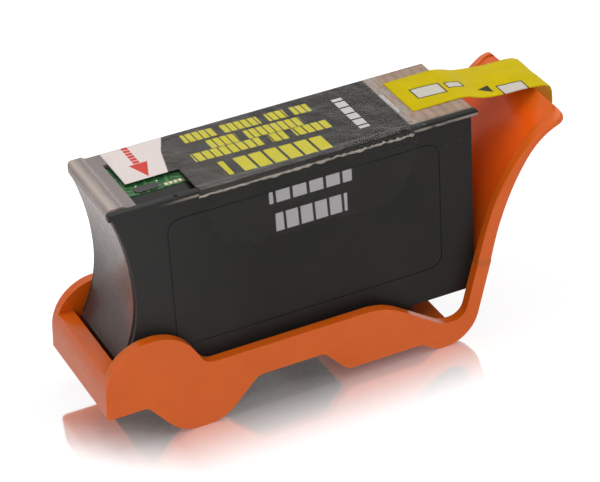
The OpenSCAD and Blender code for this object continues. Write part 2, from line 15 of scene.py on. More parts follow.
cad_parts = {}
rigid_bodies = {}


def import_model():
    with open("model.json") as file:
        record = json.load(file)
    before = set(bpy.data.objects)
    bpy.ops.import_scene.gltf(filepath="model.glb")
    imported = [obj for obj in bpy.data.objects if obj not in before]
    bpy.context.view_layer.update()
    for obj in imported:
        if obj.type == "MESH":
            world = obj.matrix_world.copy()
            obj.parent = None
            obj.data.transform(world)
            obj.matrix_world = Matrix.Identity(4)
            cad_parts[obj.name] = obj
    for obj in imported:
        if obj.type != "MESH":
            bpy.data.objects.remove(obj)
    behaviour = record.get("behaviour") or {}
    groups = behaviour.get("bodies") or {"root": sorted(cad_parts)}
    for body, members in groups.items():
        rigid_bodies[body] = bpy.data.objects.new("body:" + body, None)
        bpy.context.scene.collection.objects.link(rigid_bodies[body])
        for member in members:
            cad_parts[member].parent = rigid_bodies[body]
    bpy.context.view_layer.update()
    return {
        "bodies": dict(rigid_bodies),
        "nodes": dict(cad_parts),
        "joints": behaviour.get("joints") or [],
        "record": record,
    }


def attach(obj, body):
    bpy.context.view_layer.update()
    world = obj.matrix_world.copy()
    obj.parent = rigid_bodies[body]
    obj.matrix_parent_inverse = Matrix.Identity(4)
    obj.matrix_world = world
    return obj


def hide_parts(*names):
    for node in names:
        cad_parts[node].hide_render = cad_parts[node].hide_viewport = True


LOG = logging.getLogger("cartridge")
Colour = tuple[float, float, float]
Point = tuple[float, float]

MID_X = 46.31
HALF_W = 11.25
TOP_Z = 50.9


def spot(x: float, y: float, z: float) -> Vector:
    """Places a point of the tank's millimetre plan in the frame.

    Args:
        x: Millimetres from the tank's narrow end.
        y: Millimetres from the middle plane, positive away from the viewer.
        z: Millimetres over the ground.

    Returns:
        The point in metres.
    """
    return Vector(((x - MID_X) / 1000, y / 1000, z / 1000))


class Socket:
    """Output socket that builds math nodes through operators."""

    def __init__(self, graph: "Graph", out: bpy.types.NodeSocket) -> None:
        self.graph = graph
        self.out = out

    def _math(self, kind: str, *args: "float | Socket") -> "Socket":
        return self.graph.math(kind, *args)

    def __add__(self, other: "float | Socket") -> "Socket":
        return self._math("ADD", self, other)

    def __radd__(self, other: "float | Socket") -> "Socket":
        return self._math("ADD", other, self)

    def __sub__(self, other: "float | Socket") -> "Socket":
        return self._math("SUBTRACT", self, other)

    def __rsub__(self, other: "float | Socket") -> "Socket":
        return self._math("SUBTRACT", other, self)

    def __mul__(self, other: "float | Socket") -> "Socket":
        return self._math("MULTIPLY", self, other)

    def __rmul__(self, other: "float | Socket") -> "Socket":
        return self._math("MULTIPLY", other, self)

    def __truediv__(self, other: "float | Socket") -> "Socket":
        return self._math("DIVIDE", self, other)

    def least(self, other: "float | Socket") -> "Socket":
        """Returns the smaller of the two values."""
        return self._math("MINIMUM", self, other)

    def most(self, other: "float | Socket") -> "Socket":
        """Returns the larger of the two values."""
        return self._math("MAXIMUM", self, other)

    def size(self) -> "Socket":
        """Returns the value without its sign."""
        return self._math("ABSOLUTE", self)

    def cycle(self) -> "Socket":
        """Returns the fractional part."""
        return self._math("FRACT", self)

    def fade(self, start: float, end: float) -> "Socket":
        """Returns a smooth step from 0 at start to 1 at end."""
        return self.graph.node(
            "ShaderNodeMapRange",
            {"interpolation_type": "SMOOTHSTEP"},
            {"Value": self, "From Min": start, "From Max": end},
        )["Result"]

    def between(self, low: float, high: float, soft: float = 0.06) -> "Socket":
        """Returns 1 inside the span and 0 outside it."""
        return self.fade(low - soft, low + soft) * (1.0 - self.fade(high - soft, high + soft))


class Graph:
    """Node tree of a material or the world, in the tank's millimetres."""

    def __init__(self, tree: bpy.types.NodeTree) -> None:
        self.tree = tree
        self.tree.nodes.clear()

    @cached_property
    def place(self) -> Socket:
        """Returns the shaded point in millimetres."""
        point = self.node("ShaderNodeTexCoord")["Object"]
        return self.vector("MULTIPLY_ADD", point, (1000.0,) * 3, (MID_X, 0.0, 0.0))

    @cached_property
    def axes(self) -> dict[str, Socket]:
        """Returns the point's three coordinates."""
        return self.node("ShaderNodeSeparateXYZ", links={"Vector": self.place})

    @cached_property
    def rays(self) -> dict[str, Socket]:
        """Returns the kinds of ray that reach the point."""
        return self.node("ShaderNodeLightPath")

    @property
    def x(self) -> Socket:
        """Returns the distance from the tank's narrow end."""
        return self.axes["X"]

    @property
    def y(self) -> Socket:
        """Returns the distance from the middle plane."""
        return self.axes["Y"]

    @property
    def z(self) -> Socket:
        """Returns the height."""
        return self.axes["Z"]

    def node(
        self,
        kind: str,
        settings: Optional[dict] = None,
        links: Optional[dict] = None,
    ) -> dict[str, Socket]:
        """Adds a node.

        Args:
            kind: Blender's type name.
            settings: Attributes to set.
            links: Values or sockets for its inputs, by name or index.

        Returns:
            The node's outputs by name.
        """
        made = self.tree.nodes.new(kind)
        for name, value in (settings or {}).items():
            setattr(made, name, value)
        for name, value in (links or {}).items():
            self._feed(made.inputs[name], value)
        return {out.name: Socket(self, out) for out in made.outputs if out.enabled}

    def _feed(self, target: bpy.types.NodeSocket, value: object) -> None:
        if isinstance(value, Socket):
            self.tree.links.new(value.out, target)
        elif target.type == "RGBA":
            target.default_value = (*value[:3], 1.0)
        else:
            target.default_value = value

    def math(self, kind: str, *args: "float | Socket") -> Socket:
        """Adds a math node."""
        return self.node("ShaderNodeMath", {"operation": kind}, dict(enumerate(args)))["Value"]

    def vector(self, kind: str, *args: object) -> Socket:
        """Adds a vector math node."""
        return self.node("ShaderNodeVectorMath", {"operation": kind}, dict(enumerate(args)))["Vector"]

    def noise(
        self, scale: float, detail: float = 3.0, rough: float = 0.5, stretch: Colour = (1.0, 1.0, 1.0)
    ) -> Socket:
        """Adds a noise with its scale per millimetre.

        Returns:
            The noise value, about 0.5 on average.
        """
        place = self.vector("MULTIPLY", self.place, stretch)
        return self.node(
            "ShaderNodeTexNoise",
            links={"Vector": place, "Scale": scale, "Detail": detail, "Roughness": rough},
        )["Fac"]

    def specks(self, scale: float, radius: float) -> Socket:
        """Adds scattered round specks.

        Returns:
            1 inside a speck and 0 outside.
        """
        cell = self.node("ShaderNodeTexVoronoi", links={"Vector": self.place, "Scale": scale})
        return 1.0 - cell["Distance"].fade(radius * 0.5, radius)

    def mix(self, factor: "float | Socket", low: object, high: object) -> Socket:
        """Mixes two colours."""
        made = self.tree.nodes.new("ShaderNodeMix")
        made.data_type = "RGBA"
        for index, value in ((0, factor), (6, low), (7, high)):
            self._feed(made.inputs[index], value)
        return Socket(self, made.outputs[2])

    def bump(self, height: Socket, depth: float, strength: float = 1.0) -> Socket:
        """Adds a bump.

        Args:
            height: Height between 0 and 1.
            depth: Depth of the relief in millimetres.
            strength: Weight of the effect.

        Returns:
            The bent normal.
        """
        return self.node(
            "ShaderNodeBump", links={"Height": height, "Distance": depth / 1000, "Strength": strength}
        )["Normal"]

    def surface(self, inputs: dict) -> Socket:
        """Adds a principled surface."""
        return self.node("ShaderNodeBsdfPrincipled", links=inputs)["BSDF"]

    def finish(self, shader: Socket) -> None:
        """Ends the tree with its output."""
        self.node("ShaderNodeOutputMaterial", links={"Surface": shader})


@dataclass(frozen=True)
class Finish:
    """A material's name and the record slot that it belongs to."""

    name: str
    slot: str

    def paint(self, g: Graph) -> Socket:
        """Builds the shader."""
        raise NotImplementedError

    def make(self) -> bpy.types.Material:
        """Makes the material."""
        material = bpy.data.materials.new(self.name)
        material.use_nodes = True
        graph = Graph(material.node_tree)
        graph.finish(self.paint(graph))
        return material


@dataclass(frozen=True)
class Moulding(Finish):
    """Opaque moulded plastic with flow marks, fine texture and a few specks, and on the cover a painted lighter tone
    towards the narrow end and a painted highlight band under the front bead.
    """

    colour: Colour = (0.5, 0.5, 0.5)
    shade: Colour = (0.4, 0.4, 0.4)
    rough: float = 0.35
    grain: float = 0.01
    soft: float = 0.0
    coat: float = 0.0
    dust: float = 0.0
    shine: float = 0.5
    # Heights of a painted highlight band just under the front bead.
    highlight_strip: tuple[float, ...] = ()
    # Weight of a painted lighter tone on the black towards the narrow end.
    haze: float = 0.0

    def tint(self, g: Graph, colour: Socket) -> Socket:
        """Returns the colour with the finish's own changes, painted light among them."""
        return colour

    def marks(self, g: Graph) -> "float | Socket":
        """Returns 1 where the mould left a groove."""
        return 0.0

    def paint(self, g: Graph) -> Socket:
        flow = g.noise(0.08, 4.0, 0.6)
        colour = self.tint(g, g.mix(flow.fade(0.3, 0.7), self.shade, self.colour))
        # Painted light: the black is lightened towards the narrow end.
        if self.haze:
            colour = g.mix((1.0 - g.x.fade(0.0, 34.0)) * self.haze, colour, (0.05, 0.05, 0.049))
        # Painted highlight: a light band on the front face just under the bead, broken up by noise.
        if self.highlight_strip:
            band = g.z.between(self.highlight_strip[0], self.highlight_strip[1]) * (1.0 - g.y.fade(-11.06, -10.96)) * g.x.fade(9.0, 20.0)
            colour = g.mix(band * g.noise(0.4, 4.0, 0.7, (1.0, 1.0, 3.0)).fade(0.25, 0.55), colour, (0.3, 0.265, 0.23))
        if self.dust:
            motes = g.specks(0.42, 0.045) * g.noise(0.11, 1.0).fade(0.5, 0.62)
            colour = g.mix(motes * self.dust, colour, (0.5, 0.48, 0.46))
        rough = self.rough + (g.noise(0.5, 5.0, 0.65) - 0.5) * 0.18
        relief = g.noise(3.0, 3.0, 0.6) * 0.7 + g.noise(0.35, 2.0) * 0.3 - self.marks(g) * 6.0
        return g.surface({
            "Base Color": colour,
            "Roughness": rough,
            "Specular IOR Level": self.shine,
            "Subsurface Weight": self.soft,
            "Subsurface Radius": (1.0, 0.22, 0.06),
            "Subsurface Scale": 0.003,
            "Coat Weight": self.coat,
            "Coat Roughness": 0.12,
            "Normal": g.bump(relief, self.grain),
        })


@dataclass(frozen=True)
class ClipPlastic(Moulding):
    """Orange plastic, painted a deeper red in the thin web to stand in for light passing through it, with mould marks.
    """

    # Colour painted into the thin web for light passing through it.
    web: Colour = (0.95, 0.12, 0.006)

    def tint(self, g: Graph, colour: Socket) -> Socket:
        """Paints a deeper red into the handle's web between its walls, for light passing through it."""
        thin = g.x.fade(79.3, 81.5) * (1.0 - g.y.size().fade(11.4, 12.4)) * (1.0 - g.z.fade(44.0, 47.5))
        return g.mix(thin, colour, self.web)

    def marks(self, g: Graph) -> Socket:
        """Returns the parting line on the crossbar and the ring of its ejector pin."""
        line = g.z.between(13.36, 13.54, 0.05) * (1.0 - g.x.fade(-5.3, -5.1))
        east, north = g.x + 3.1, g.y - 9.65
        away = g.math("SQRT", east * east + north * north)
        ring = away.between(1.15, 1.35, 0.05) * g.z.fade(15.3, 15.5) * (1.0 - g.z.fade(15.9, 16.1))
        return (line + ring).least(1.0)


@dataclass(frozen=True)
class Translucent(Finish):
    """Cloudy plastic that light passes through, with painted light where set: lighter under the lid's top, and on the
    core a painted reflection of the clip and painted ridge highlights, beside its darker foot and deck.
    """

    colour: Colour = (0.5, 0.45, 0.42)
    shade: Colour = (0.3, 0.26, 0.24)
    rough: float = 0.3
    clear: float = 0.5
    streak: Colour = (0.15, 1.0, 0.12)
    depth: float = 0.0
    # Weight of a painted lighter tone below the top face, lifting the shade in the lid's channels and on its sides.
    cut: float = 0.0

    def paint(self, g: Graph) -> Socket:
        cloud = g.noise(0.5, 4.0, 0.6, self.streak)
        colour = g.mix(cloud.fade(0.35, 0.68), self.shade, self.colour)
        # Painted light: lighter below the top face, where the lid's channels and sides would fall into shade.
        colour = g.mix((1.0 - g.z.fade(TOP_Z - 0.25, TOP_Z - 0.1)) * self.cut, colour, (0.6, 0.42, 0.31))
        if self.depth:
            low = (1.0 - g.z.fade(22.0, 52.5)) * self.depth
            deck = g.x.fade(2.2, 3.0) * g.z.fade(47.0, 49.0)
            colour = g.mix(deck * 0.6, colour, (0.19, 0.165, 0.165))
            colour = g.mix(low, colour, (0.045, 0.023, 0.019))
            # Painted reflection: red light from the orange clip on the core's flank.
            clip_reflection = g.z.between(24.0, 33.0, 4.0) * (1.0 - g.y.fade(-8.5, -4.0)) * 0.5
            colour = g.mix(clip_reflection, colour, (0.3, 0.06, 0.03))
            # Painted highlights: lighter lines along the ridge at the top.
            ridge_highlights = g.x.between(0.9, 2.0, 0.4) * 0.7 + g.x.between(3.3, 3.8, 0.2) * 0.3
            colour = g.mix(ridge_highlights * g.z.fade(49.5, 50.6), colour, (0.58, 0.49, 0.42))
        return g.surface({
            "Base Color": colour,
            "Roughness": self.rough + (g.noise(0.7, 3.0) - 0.5) * 0.15,
            "Transmission Weight": self.clear,
            "IOR": 1.48,
            "Specular IOR Level": 0.32,
            "Normal": g.bump(g.noise(0.3, 2.0, 0.5, self.streak), 0.015),
        })


@dataclass(frozen=True)
class Metal(Finish):
    """Bare metal with fine rubbed marks."""

    colour: Colour = (0.8, 0.7, 0.45)
    rough: float = 0.3

    def paint(self, g: Graph) -> Socket:
        marks = g.noise(2.5, 4.0, 0.6, (1.0, 6.0, 1.0))
        return g.surface({
            "Base Color": g.mix(marks, self.colour, tuple(c * 0.8 for c in self.colour)),
            "Metallic": 1.0,
            "Roughness": self.rough + (marks - 0.5) * 0.2,
            "Normal": g.bump(marks, 0.01),
        })


@dataclass(frozen=True)
class Fibre(Finish):
    """Foam, felt or membrane."""

    colour: Colour = (0.2, 0.2, 0.2)

    def paint(self, g: Graph) -> Socket:
        cells = g.noise(2.2, 5.0, 0.7)
        return g.surface({
            "Base Color": g.mix(cells, tuple(c * 0.5 for c in self.colour), self.colour),
            "Roughness": 0.9,
            "Normal": g.bump(cells, 0.2),
        })


@dataclass(frozen=True)
class Board(Finish):
    """Solder mask over copper tracks."""

    def paint(self, g: Graph) -> Socket:
        lanes = ((g.y + g.x * 0.35) / 1.3).cycle().between(0.3, 0.62, 0.05)
        bends = ((g.x - g.y * 0.2) / 2.1).cycle().between(0.4, 0.7, 0.05)
        gate = g.noise(0.22, 1.0).fade(0.47, 0.53)
        tracks = lanes * gate + bends * (1.0 - gate)
        colour = g.mix(tracks * 0.8, (0.024, 0.1, 0.032), (0.085, 0.235, 0.08))
        vias = g.specks(0.5, 0.08)
        colour = g.mix(vias * 0.7, colour, (0.4, 0.42, 0.3))
        return g.surface({
            "Base Color": g.mix(g.noise(1.5, 3.0).fade(0.5, 0.8) * 0.3, colour, (0.09, 0.17, 0.07)),
            "Roughness": 0.35,
            "Specular IOR Level": 0.3,
            "Normal": g.bump(tracks, 0.05),
        })


@dataclass(frozen=True)
class Row:
    """A row of print: letter-wide blocks grouped in words along one axis."""

    low: float
    high: float
    words: tuple[tuple[float, float], ...]
    pitch: float
    lean: float = 0.0

    def mask(self, along: Socket, across: Socket) -> Socket:
        """Returns 1 inside the row's blocks.

        Args:
            along: Coordinate along the row.
            across: Coordinate across the row.
        """
        level = across + along * self.lean
        inside = level.between(self.low, self.high)
        total: "float | Socket" = 0.0
        for start, end in self.words:
            total = along.between(start, end) + total
        gap = ((along + level * 0.04) / self.pitch).cycle().between(0.1, 0.92, 0.03)
        return inside * total * gap


@dataclass(frozen=True)
class PrintedFilm(Finish):
    """Glossy label: black field with a painted reflection, white end, rows of yellow and white blocks, red mark, and a
    pale hem with painted highlights on its crinkles.
    """

    yellow: tuple[Row, ...] = (
        Row(-7.73, -2.23, ((25.2, 26.8), (28.6, 47.2)), 3.15, 0.045),
        Row(-0.28, 2.92, ((22.3, 36.4), (38.2, 41.6), (43.2, 50.6)), 1.75, 0.045),
        Row(3.12, 6.52, ((27.0, 33.0), (34.8, 46.5)), 1.5, 0.045),
        Row(7.42, 10.62, ((23.4, 30.2), (31.6, 39.4), (41.0, 45.0), (46.4, 50.0)), 1.45, 0.045),
    )
    white: Row = Row(54.9, 57.1, ((-6.0, 6.9),), 2.6)
    dashes: Row = Row(11.6, 12.9, ((3.9, 11.4),), 1.15)

    def paint(self, g: Graph) -> Socket:
        wave = g.noise(0.3, 2.0) - 0.5
        border = g.x - (16.1 + (g.y + 2.0).most(0.0) * 0.24 + (g.y - 6.0).most(0.0) * 0.2)
        black = border.fade(-0.12, 0.12)
        # Painted reflection: the black field gets a lighter warm tone near the narrow end, fading to a darker black
        # far along.
        far = g.x.fade(18.0, 52.0)
        ink = g.mix(far, (0.027, 0.02, 0.014), (0.009, 0.006, 0.004))
        colour = g.mix(black, (0.77, 0.68, 0.65), ink)
        letters: "float | Socket" = 0.0
        for row in self.yellow:
            letters = row.mask(g.x, g.y) + letters
        over = g.z.fade(TOP_Z - 1.0, TOP_Z - 0.5)
        worn = 1.0 - g.noise(2.6, 3.0, 0.7).fade(0.66, 0.74) * 0.5
        colour = g.mix(letters.least(1.0) * over * worn, colour, (0.62, 0.55, 0.01))
        colour = g.mix(self.white.mask(g.y, g.x) * over * worn, colour, (0.62, 0.6, 0.6))
        wedge = g.y.between(-1.3, 4.0, 0.1) * (1.0 - ((g.x - 12.4).size() - (g.y + 1.3) * 0.36).fade(-0.05, 0.05))
        marks = (self.dashes.mask(g.y, g.x) + wedge).least(1.0)
        colour = g.mix(marks * (1.0 - black), colour, (0.62, 0.03, 0.015))
        # A light jagged band along the front bead: the label's pale hem together with painted highlights on its
        # crinkles.
        crush = g.noise(0.9, 4.0, 0.7, (1.0, 0.4, 0.6))
        rag = g.x.fade(30.0, 56.0) * 1.4 + 0.5
        line = (crush - 0.5) * rag + (TOP_Z - 0.98)
        hem = (1.0 - (g.z - line).fade(-0.08, 0.08)) * (1.0 - g.y.fade(-10.0, -9.0)) * black
        colour = g.mix(hem * (crush.fade(0.3, 0.5) * 0.7 + 0.3), colour, (0.45, 0.4, 0.35))
        return g.surface({
            "Base Color": colour,
            "Roughness": 0.24 + wave * 0.12 + (1.0 - black) * 0.2,
            "Specular IOR Level": 0.3,
            "Coat Weight": (1.0 - far) * 0.12,
            "Coat Roughness": 0.08,
            "Normal": g.bump(g.noise(0.2, 3.0, 0.5) * 2.4 + g.noise(0.9, 1.0, 0.5, (1.0, 0.35, 1.0)) * 0.4, 0.3),
        })


@dataclass(frozen=True)
class ClearFilm(Finish):
    """Clear film with creases at its end and rows of light blocks on its side tabs."""

    rows: tuple[Row, ...] = (
        Row(43.4, 46.0, ((32.6, 50.2),), 3.55, 0.0),
        Row(37.0, 41.0, ((33.7, 49.0),), 3.1, 0.0),
    )

    def paint(self, g: Graph) -> Socket:
        creases = g.noise(0.9, 2.0, 0.5, (1.6, 0.5, 1.0))
        flat = g.z.fade(TOP_Z - 1.4, TOP_Z - 0.4)
        tail = g.x.fade(63.4, 64.4) * flat * g.y.fade(-10.6, -9.6)
        relief = g.bump(creases * (tail * 0.95 + 0.05), 0.4)
        gloss = g.node("ShaderNodeBsdfAnisotropic", links={
            "Color": (0.85, 0.85, 0.85),
            "Roughness": 0.14,
            "Normal": relief,
        })["BSDF"]
        clear = g.node("ShaderNodeBsdfTransparent", links={"Color": (0.985, 0.985, 0.98)})["BSDF"]
        milk = g.surface({"Base Color": (0.55, 0.47, 0.4), "Roughness": 0.3, "Normal": relief})
        sheen = 0.003 + flat * 0.006 + tail * 0.1
        film = g.node("ShaderNodeMixShader", links={0: sheen, 1: clear, 2: gloss})["Shader"]
        cloudy = tail * (creases.fade(0.45, 0.75) * 0.3 + 0.05)
        film = g.node("ShaderNodeMixShader", links={0: cloudy, 1: film, 2: milk})["Shader"]
        side = 1.0 - g.z.fade(TOP_Z - 2.5, TOP_Z - 1.5)
        front = 1.0 - g.y.fade(-1.0, 1.0)
        blocks: "float | Socket" = 0.0
        for row in self.rows:
            blocks = row.mask(g.x, g.z) + blocks
        worn = 1.0 - g.noise(2.6, 3.0, 0.7).fade(0.64, 0.74) * 0.4
        ink = g.surface({"Base Color": (0.42, 0.4, 0.41), "Roughness": 0.3})
        mask = blocks.least(1.0) * side * front * worn
        return g.node("ShaderNodeMixShader", links={0: mask, 1: film, 2: ink})["Shader"]


@dataclass(frozen=True)
class SealingFilm(Finish):
    """Cloudy film welded over the lid, with soft bands where it covers the channel."""

    def paint(self, g: Graph) -> Socket:
        bands = ((g.x + g.noise(0.2, 1.0) * 0.8) / 2.05).cycle().between(0.25, 0.6, 0.2)
        colour = g.mix(bands * 0.75, (0.5, 0.345, 0.255), (0.33, 0.225, 0.16))
        haze = g.surface({
            "Base Color": g.mix(g.noise(0.6, 3.0, 0.6, (1.0, 0.3, 1.0)).fade(0.4, 0.7) * 0.5, colour, (0.4, 0.25, 0.15)),
            "Roughness": 0.3,
            "Specular IOR Level": 0.4,
            "Normal": g.bump(g.noise(0.5, 3.0), 0.05),
        })
        clear = g.node("ShaderNodeBsdfTransparent", links={"Color": (0.98, 0.97, 0.96)})["BSDF"]
        veil = g.noise(0.35, 2.0).fade(0.3, 0.7) * 0.15 + 0.62
        return g.node("ShaderNodeMixShader", links={0: veil, 1: clear, 2: haze})["Shader"]


@dataclass(frozen=True)
class TapeFilm(Finish):
    """Yellow pull tape with two outlined light boxes and a dark wedge between them."""

    def paint(self, g: Graph) -> Socket:
        wave = g.noise(0.25, 2.0)
        colour = g.mix(wave.fade(0.3, 0.7), (0.6, 0.455, 0.002), (0.64, 0.49, 0.003))
        top = g.z.fade(46.8, 47.6)
        lines: "float | Socket" = 0.0
        fills: "float | Socket" = 0.0
        for x0, x1, y0, y1 in ((69.9, 76.3, -1.7, 2.6), (77.1, 80.6, -0.9, 1.6), (87.0, 92.8, -6.0, -1.9)):
            lean = g.y + (g.x - x0) * 0.08
            outer = g.x.between(x0, x1, 0.05) * lean.between(y0, y1, 0.05)
            inner = g.x.between(x0 + 0.3, x1 - 0.3, 0.05) * lean.between(y0 + 0.3, y1 - 0.3, 0.05)
            lines = outer + lines
            fills = inner + fills
        wedge = g.x.between(82.6, 85.6, 0.05) * (
            1.0 - ((g.y + 2.6).size() - (g.x - 82.6) * 0.45).fade(-0.05, 0.05)
        )
        ink = (0.05, 0.045, 0.02)
        colour = g.mix(lines.least(1.0) * top, colour, ink)
        colour = g.mix(fills.least(1.0) * top, colour, (0.62, 0.57, 0.5))
        colour = g.mix(wedge * top, colour, ink)
        return g.surface({
            "Base Color": colour,
            "Roughness": 0.38 + (wave - 0.5) * 0.1,
            "Specular IOR Level": 0.03,
            "Subsurface Weight": 0.1,
            "Subsurface Scale": 0.001,
            "Normal": g.bump(g.noise(0.25, 3.0, 0.5), 0.3),
        })


@dataclass(frozen=True)
class Table(Finish):
    """Pale table with a soft mirror."""

    def paint(self, g: Graph) -> Socket:
        far = ((8.0 - g.x).most(0.0) * 0.8 - g.y).fade(8.0, 34.0)
        lift = g.mix(g.rays["Is Camera Ray"], (0.0, 0.0, 0.0), (0.42, 0.42, 0.42))
        dull = g.surface({
            "Base Color": (0.92, 0.92, 0.92),
            "Roughness": 0.6,
            "Specular IOR Level": 0.0,
            "Emission Color": lift,
            "Emission Strength": 1.0,
        })
        shine = g.node("ShaderNodeBsdfAnisotropic", links={
            "Color": (0.98, 0.98, 0.98), "Roughness": 0.05 + g.noise(0.05, 2.0) * 0.03,
        })["BSDF"]
        behind = g.y.fade(6.0, 40.0).most((g.x - MID_X).size().fade(60.0, 95.0))
        mirror = 0.85 * (1.0 - far) * (1.0 - behind)
        return g.node("ShaderNodeMixShader", links={0: mirror, 1: dull, 2: shine})["Shader"]


class Shade(Enum):
    """Finishes by use."""

    CORE = Translucent(
        "Core", "smoke_plastic", (0.5, 0.41, 0.375), (0.34, 0.275, 0.255), 0.27, 0.15, (0.35, 0.1, 0.08), 0.92
    )
    # The cover's haze is a painted lighter tone at its narrow end, and the band under its bead is a painted highlight.
    COVER = Moulding(
        "Cover", "black_cover", (0.021, 0.02, 0.0185), (0.017, 0.0165, 0.0155), 0.36, 0.008, dust=0.5, shine=0.15,
        highlight_strip=(TOP_Z - 1.12, TOP_Z - 0.56), haze=0.4,
    )
    # The lid's cut weight paints light into the shade of its channels.
    LID = Translucent("Lid", "beige_lid", (0.5, 0.34, 0.25), (0.34, 0.22, 0.16), 0.25, 0.2, (1.2, 0.15, 1.0), cut=1.0)
    TRAY = Moulding("Tray", "black_tray", (0.02, 0.018, 0.017), (0.013, 0.012, 0.011), 0.3, 0.02, shine=0.2)
    BOARD = Board("Board", "board")
    CONTACT = Metal("Contact", "contact", (0.8, 0.7, 0.45), 0.3)
    RESIN = Moulding("Resin", "resin", (0.03, 0.022, 0.018), (0.015, 0.012, 0.01), 0.25, 0.03)
    SOLDER = Metal("Solder", "solder", (0.88, 0.88, 0.86), 0.25)
    PLUG = Moulding("Plug", "plug", (0.6, 0.58, 0.54), (0.5, 0.48, 0.45), 0.4)
    MEMBRANE = Fibre("Membrane", "membrane", (0.8, 0.8, 0.78))
    FOAM = Fibre("Foam", "foam", (0.05, 0.05, 0.055))
    WICK = Fibre("Wick", "wick", (0.2, 0.2, 0.22))
    MESH = Metal("Mesh", "mesh", (0.6, 0.6, 0.62), 0.35)
    GASKET = Moulding("Gasket", "gasket", (0.03, 0.03, 0.03), (0.02, 0.02, 0.02), 0.5)
    SEAL = Translucent("Seal", "seal", (0.35, 0.17, 0.1), (0.2, 0.09, 0.06), 0.35, 0.3, (1.0, 1.0, 1.0))
    LABEL = PrintedFilm("Label", "label")
    FILM = ClearFilm("Film", "film")
    SEALING = SealingFilm("Sealing", "beige_lid")
    TAPE = TapeFilm("Tape", "tape")
    CLIP = ClipPlastic(
        "Clip", "orange_clip", (0.77, 0.131, 0.007), (0.72, 0.12, 0.005), 0.23, 0.012, soft=0.2, shine=0.36
    )
    TABLE = Table("Table", "")


class Palette:
    """Materials made on first use."""

    def __init__(self) -> None:
        self._made: dict[Shade, bpy.types.Material] = {}

    def material(self, shade: Shade) -> bpy.types.Material:
        """Returns the material of a shade."""
        if shade not in self._made:
            self._made[shade] = shade.value.make()
        return self._made[shade]

    def dress(self, piece: bpy.types.Object, shade: Shade) -> None:
        """Gives a piece one material."""
        piece.data.materials.clear()
        piece.data.materials.append(self.material(shade))


class Shape:
    """Mesh operations shared by the pieces."""

    @staticmethod
    def object(name: str, mesh: bpy.types.Mesh) -> bpy.types.Object:
        """Links a mesh into the scene as an object."""
        made = bpy.data.objects.new(name, mesh)
        bpy.context.scene.collection.objects.link(made)
        return made

    @staticmethod
    def from_bmesh(name: str, bm: bmesh.types.BMesh) -> bpy.types.Object:
        """Turns a bmesh into an object and frees it."""
        mesh = bpy.data.meshes.new(name)
        bm.to_mesh(mesh)
        bm.free()
        return Shape.object(name, mesh)

    @staticmethod
    def smooth(piece: bpy.types.Object, degrees: float) -> None:
        """Shades a piece smooth except at edges sharper than the angle."""
        mesh = piece.data
        mesh.shade_smooth()
        mesh.set_sharp_from_angle(angle=math.radians(degrees))

    @staticmethod
    def soften(bm: bmesh.types.BMesh, width: float, steps: int, degrees: float = 32.0) -> None:
        """Joins flat faces and rounds the sharp edges.

        Args:
            bm: Mesh in metres.
            width: Rounding in millimetres.
            steps: Segments of the rounding.
            degrees: Angle from which an edge is sharp.
        """
        bmesh.ops.remove_doubles(bm, verts=bm.verts, dist=2e-6)
        bmesh.ops.dissolve_limit(bm, angle_limit=math.radians(0.6), verts=bm.verts, edges=bm.edges)
        sharp = [
            e for e in bm.edges
            if len(e.link_faces) == 2 and e.calc_face_angle(0.0) > math.radians(degrees)
        ]
        bmesh.ops.bevel(
            bm, geom=sharp, offset=width / 1000, offset_type="OFFSET", segments=steps,
            profile=0.5, affect="EDGES", clamp_overlap=True,
        )

    @staticmethod
    def weigh(piece: bpy.types.Object) -> None:
        """Keeps wide faces flat under smooth shading."""
        change = piece.modifiers.new("weights", "WEIGHTED_NORMAL")
        change.keep_sharp = True


class Outline:
    """Plane outline with rounded corners."""

    @staticmethod
    def arc(centre: Point, radius: float, start: float, end: float, count: int) -> list[Point]:
        """Returns the points of an arc, its angles in degrees."""
        angles = [math.radians(start + (end - start) * i / count) for i in range(count + 1)]
        return [(centre[0] + radius * math.cos(a), centre[1] + radius * math.sin(a)) for a in angles]

    @staticmethod
    def rounded(corners: Sequence[tuple[float, float, float]]) -> list[Point]:
        """Rounds the corners (x, y, radius) of a closed outline."""
        made: list[Point] = []
        count = len(corners)
        for i, (x, y, radius) in enumerate(corners):
            here = Vector((x, y))
            u = (Vector(corners[i - 1][:2]) - here).normalized()
            w = (Vector(corners[(i + 1) % count][:2]) - here).normalized()
            if radius == 0:
                made.append((x, y))
                continue
            half = math.acos(max(-1.0, min(1.0, u.dot(w)))) / 2
            centre = here + (u + w).normalized() * radius / math.sin(half)
            first = here + u * radius / math.tan(half) - centre
            start = math.degrees(math.atan2(first.y, first.x))
            cross = u.x * w.y - u.y * w.x
            sweep = -math.copysign(180 - 2 * math.degrees(half), cross)
            steps = max(4, math.ceil(max(abs(sweep) / 9, radius * abs(sweep) / 45)))
            made += Outline.arc(tuple(centre), radius, start, start + sweep, steps)
        return made

    @staticmethod
    def prism(points: Sequence[Point], y0: float, y1: float) -> bmesh.types.BMesh:
        """Extrudes an XZ outline between two Y planes, all in millimetres."""
        bm = bmesh.new()
        near = [bm.verts.new(spot(x, y0, z)) for x, z in points]
        far = [bm.verts.new(spot(x, y1, z)) for x, z in points]
        bm.faces.new(near)
        bm.faces.new(list(reversed(far)))
        for i in range(len(points)):
            j = (i + 1) % len(points)
            bm.faces.new((near[j], near[i], far[i], far[j]))
        bmesh.ops.recalc_face_normals(bm, faces=bm.faces)
        return bm


def ease(value: float) -> float:
    """Returns a smooth step of a value between 0 and 1."""
    s = max(0.0, min(1.0, value))
    return s * s * (3 - 2 * s)


